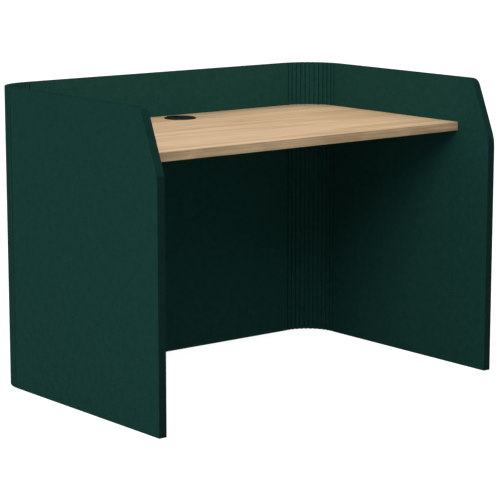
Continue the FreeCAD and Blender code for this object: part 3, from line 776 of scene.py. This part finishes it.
# What is let into each felt piece: its tongues, its feet, and the inserts near it.
TONGUES = {
    "left_side_board": ["left_side_tongue"],
    "left_rear_corner": ["left_side_tongue", "left_back_tongue"],
    "back_board": ["left_back_tongue", "right_back_tongue"],
    "right_rear_corner": ["right_back_tongue", "right_side_tongue"],
    "right_side_board": ["right_side_tongue"],
}
FEET = {
    "left_side_board": ["left_front", "left_rear"],
    "right_side_board": ["right_front", "right_rear"],
    "back_board": ["back_left", "back_right"],
}
INSERT_TESTS = {
    "left_side_board": lambda p: p.x < SIDE_HIGH.x + CUT_MARGIN,
    "right_side_board": lambda p: p.x > -SIDE_HIGH.x - CUT_MARGIN,
    "back_board": lambda p: p.y > BACK_LOW.y,
}


def build_screen():
    """The five felt pieces, each standing for the CAD node of the same name."""
    pieces = {}
    for side, word in ((-1, "left"), (1, "right")):
        inner = side * (abs(SIDE_LOW.x) - BOARD)
        pieces[f"{word}_side_board"] = felt_board(
            f"felt_{word}_side_board", side_outline(), [(SIDE_HIGH.y, 1)],
            lambda u, v, depth, inner=inner, side=side: Vector((inner + side * depth, u, v)),
        )
        pieces[f"{word}_rear_corner"] = rear_corner(f"felt_{word}_rear_corner", side)
    pieces["back_board"] = felt_board(
        "felt_back_board", back_outline(), [(BACK_LOW.x, -1), (BACK_HIGH.x, 1)],
        lambda u, v, depth: Vector((u, BACK_LOW.y + depth, v)),
    )
    for node, piece in pieces.items():
        cutters = [tongue_slot(tongue) for tongue in TONGUES[node]]
        cutters += [foot_bore(foot) for foot in FEET.get(node, [])]
        if node in INSERT_TESTS:
            cutters += insert_bores(INSERT_TESTS[node])
        bored(piece, cutters)
        soften_shading(piece)
        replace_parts(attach(piece, BODY), node)


build_screen()


# ---------------------------------------------------------------- materials of the CAD nodes

NODE_MATERIALS = {
    "desk_core": PARTICLEBOARD,
    "desk_top_laminate": OAK,
    "desk_backing_laminate": BACKING,
    "desk_front_band": OAK_BAND,
    "desk_rear_band": OAK_BAND,
    "rail_bolts": ZINC,
    "rail_bolt_inserts": ZINC,
    "desk_screws": ZINC,
    "foot_inserts": ZINC,
    "grommet_liner": GROMMET_BLACK,
    "grommet_cap": GROMMET_BLACK,
    "grommet_shutter": GROMMET_BLACK,
    "shutter_pivot": GROMMET_BLACK,
}
for hand in ("left", "right"):
    for end in ("side", "back"):
        NODE_MATERIALS[f"{hand}_{end}_tongue"] = PLYWOOD
for rail in ("left", "right", "back"):
    NODE_MATERIALS[f"{rail}_support_rail"] = POWDER_COAT
for feet in FEET.values():
    for foot in feet:
        NODE_MATERIALS[f"foot_pad_{foot}"] = NYLON
        NODE_MATERIALS[f"foot_stem_{foot}"] = ZINC
for node, material in NODE_MATERIALS.items():
    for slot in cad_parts[node].material_slots:
        slot.material = material


# ---------------------------------------------------------------- studio

def seen_by_camera(tree):
    """1 for what the camera sees directly, and 0 for light on its way."""
    return tree.nodes.new("ShaderNodeLightPath").outputs["Is Camera Ray"]


def make_world():
    """Soft light that is brightest overhead; what the camera sees of it is plain white."""
    world = bpy.data.worlds.new("studio_sky")
    bpy.context.scene.world = world
    world.use_nodes = True
    tree = world.node_tree
    background = tree.nodes["Background"]
    background.inputs["Color"].default_value = (1, 1, 1, 1)
    coordinates = tree.nodes.new("ShaderNodeTexCoord")
    split = tree.nodes.new("ShaderNodeSeparateXYZ")
    tree.links.new(coordinates.outputs["Generated"], split.inputs[0])
    up = calc(tree, "MAXIMUM", split.outputs["Z"], 0.0)
    glow = calc(tree, "MULTIPLY", calc(tree, "POWER", up, SKY_POWER), SKY_HIGH)
    light = calc(tree, "ADD", glow, SKY_LOW)
    blend = tree.nodes.new("ShaderNodeMix")
    tree.links.new(seen_by_camera(tree), blend.inputs[0])
    tree.links.new(light, blend.inputs[2])
    blend.inputs[3].default_value = SKY_SEEN
    tree.links.new(blend.outputs[0], background.inputs["Strength"])


def make_floor():
    """A large plain floor. It returns some of the light, and the camera sees it almost white."""
    bm = bmesh.new()
    corners = [(-1, -1), (1, -1), (1, 1), (-1, 1)]
    bm.faces.new([bm.verts.new((x * FLOOR_HALF, y * FLOOR_HALF, 0)) for x, y in corners])
    material, tree, shader = new_material("white_floor")
    shader.inputs["Base Color"].default_value = (FLOOR_ALBEDO, FLOOR_ALBEDO, FLOOR_ALBEDO, 1)
    shader.inputs["Roughness"].default_value = 1.0
    shader.inputs["Specular IOR Level"].default_value = 0.0
    shader.inputs["Emission Color"].default_value = (1, 1, 1, 1)
    glow = calc(tree, "MULTIPLY", seen_by_camera(tree), FLOOR_GLOW_SEEN)
    tree.links.new(glow, shader.inputs["Emission Strength"])
    material.cycles.emission_sampling = "NONE"
    floor = mesh_piece("floor", bm, [material])


def make_light(name, bearing, height, power):
    """One large square soft light that faces the middle of the object."""
    data = bpy.data.lights.new(name, "AREA")
    data.shape = "SQUARE"
    data.size = LIGHT_SIZE
    data.energy = power
    light = bpy.data.objects.new(name, data)
    across, up = math.radians(bearing), math.radians(height)
    towards = Vector((math.sin(across) * math.cos(up), -math.cos(across) * math.cos(up), math.sin(up)))
    light.location = (CAD_BOX[0] + CAD_BOX[1]) / 2 + towards * LIGHT_DISTANCE
    light.rotation_euler = towards.to_track_quat("Z", "Y").to_euler()
    light.visible_camera = False
    bpy.context.scene.collection.objects.link(light)


def make_camera():
    data = bpy.data.cameras.new("camera")
    data.sensor_width = CAMERA_SENSOR_MM
    data.lens = CAMERA_LENS_MM
    data.clip_end = CAMERA_REACH
    camera = bpy.data.objects.new("camera", data)
    camera.location = CAMERA_PLACE
    camera.rotation_euler = (math.radians(90 - CAMERA_DOWN), 0, math.radians(-CAMERA_BEARING))
    bpy.context.scene.collection.objects.link(camera)
    bpy.context.scene.camera = camera


make_world()
make_floor()
for light_name, setting in LIGHTS.items():
    make_light(light_name, *setting)
make_camera()
bpy.context.scene.view_settings.view_transform = "Standard"
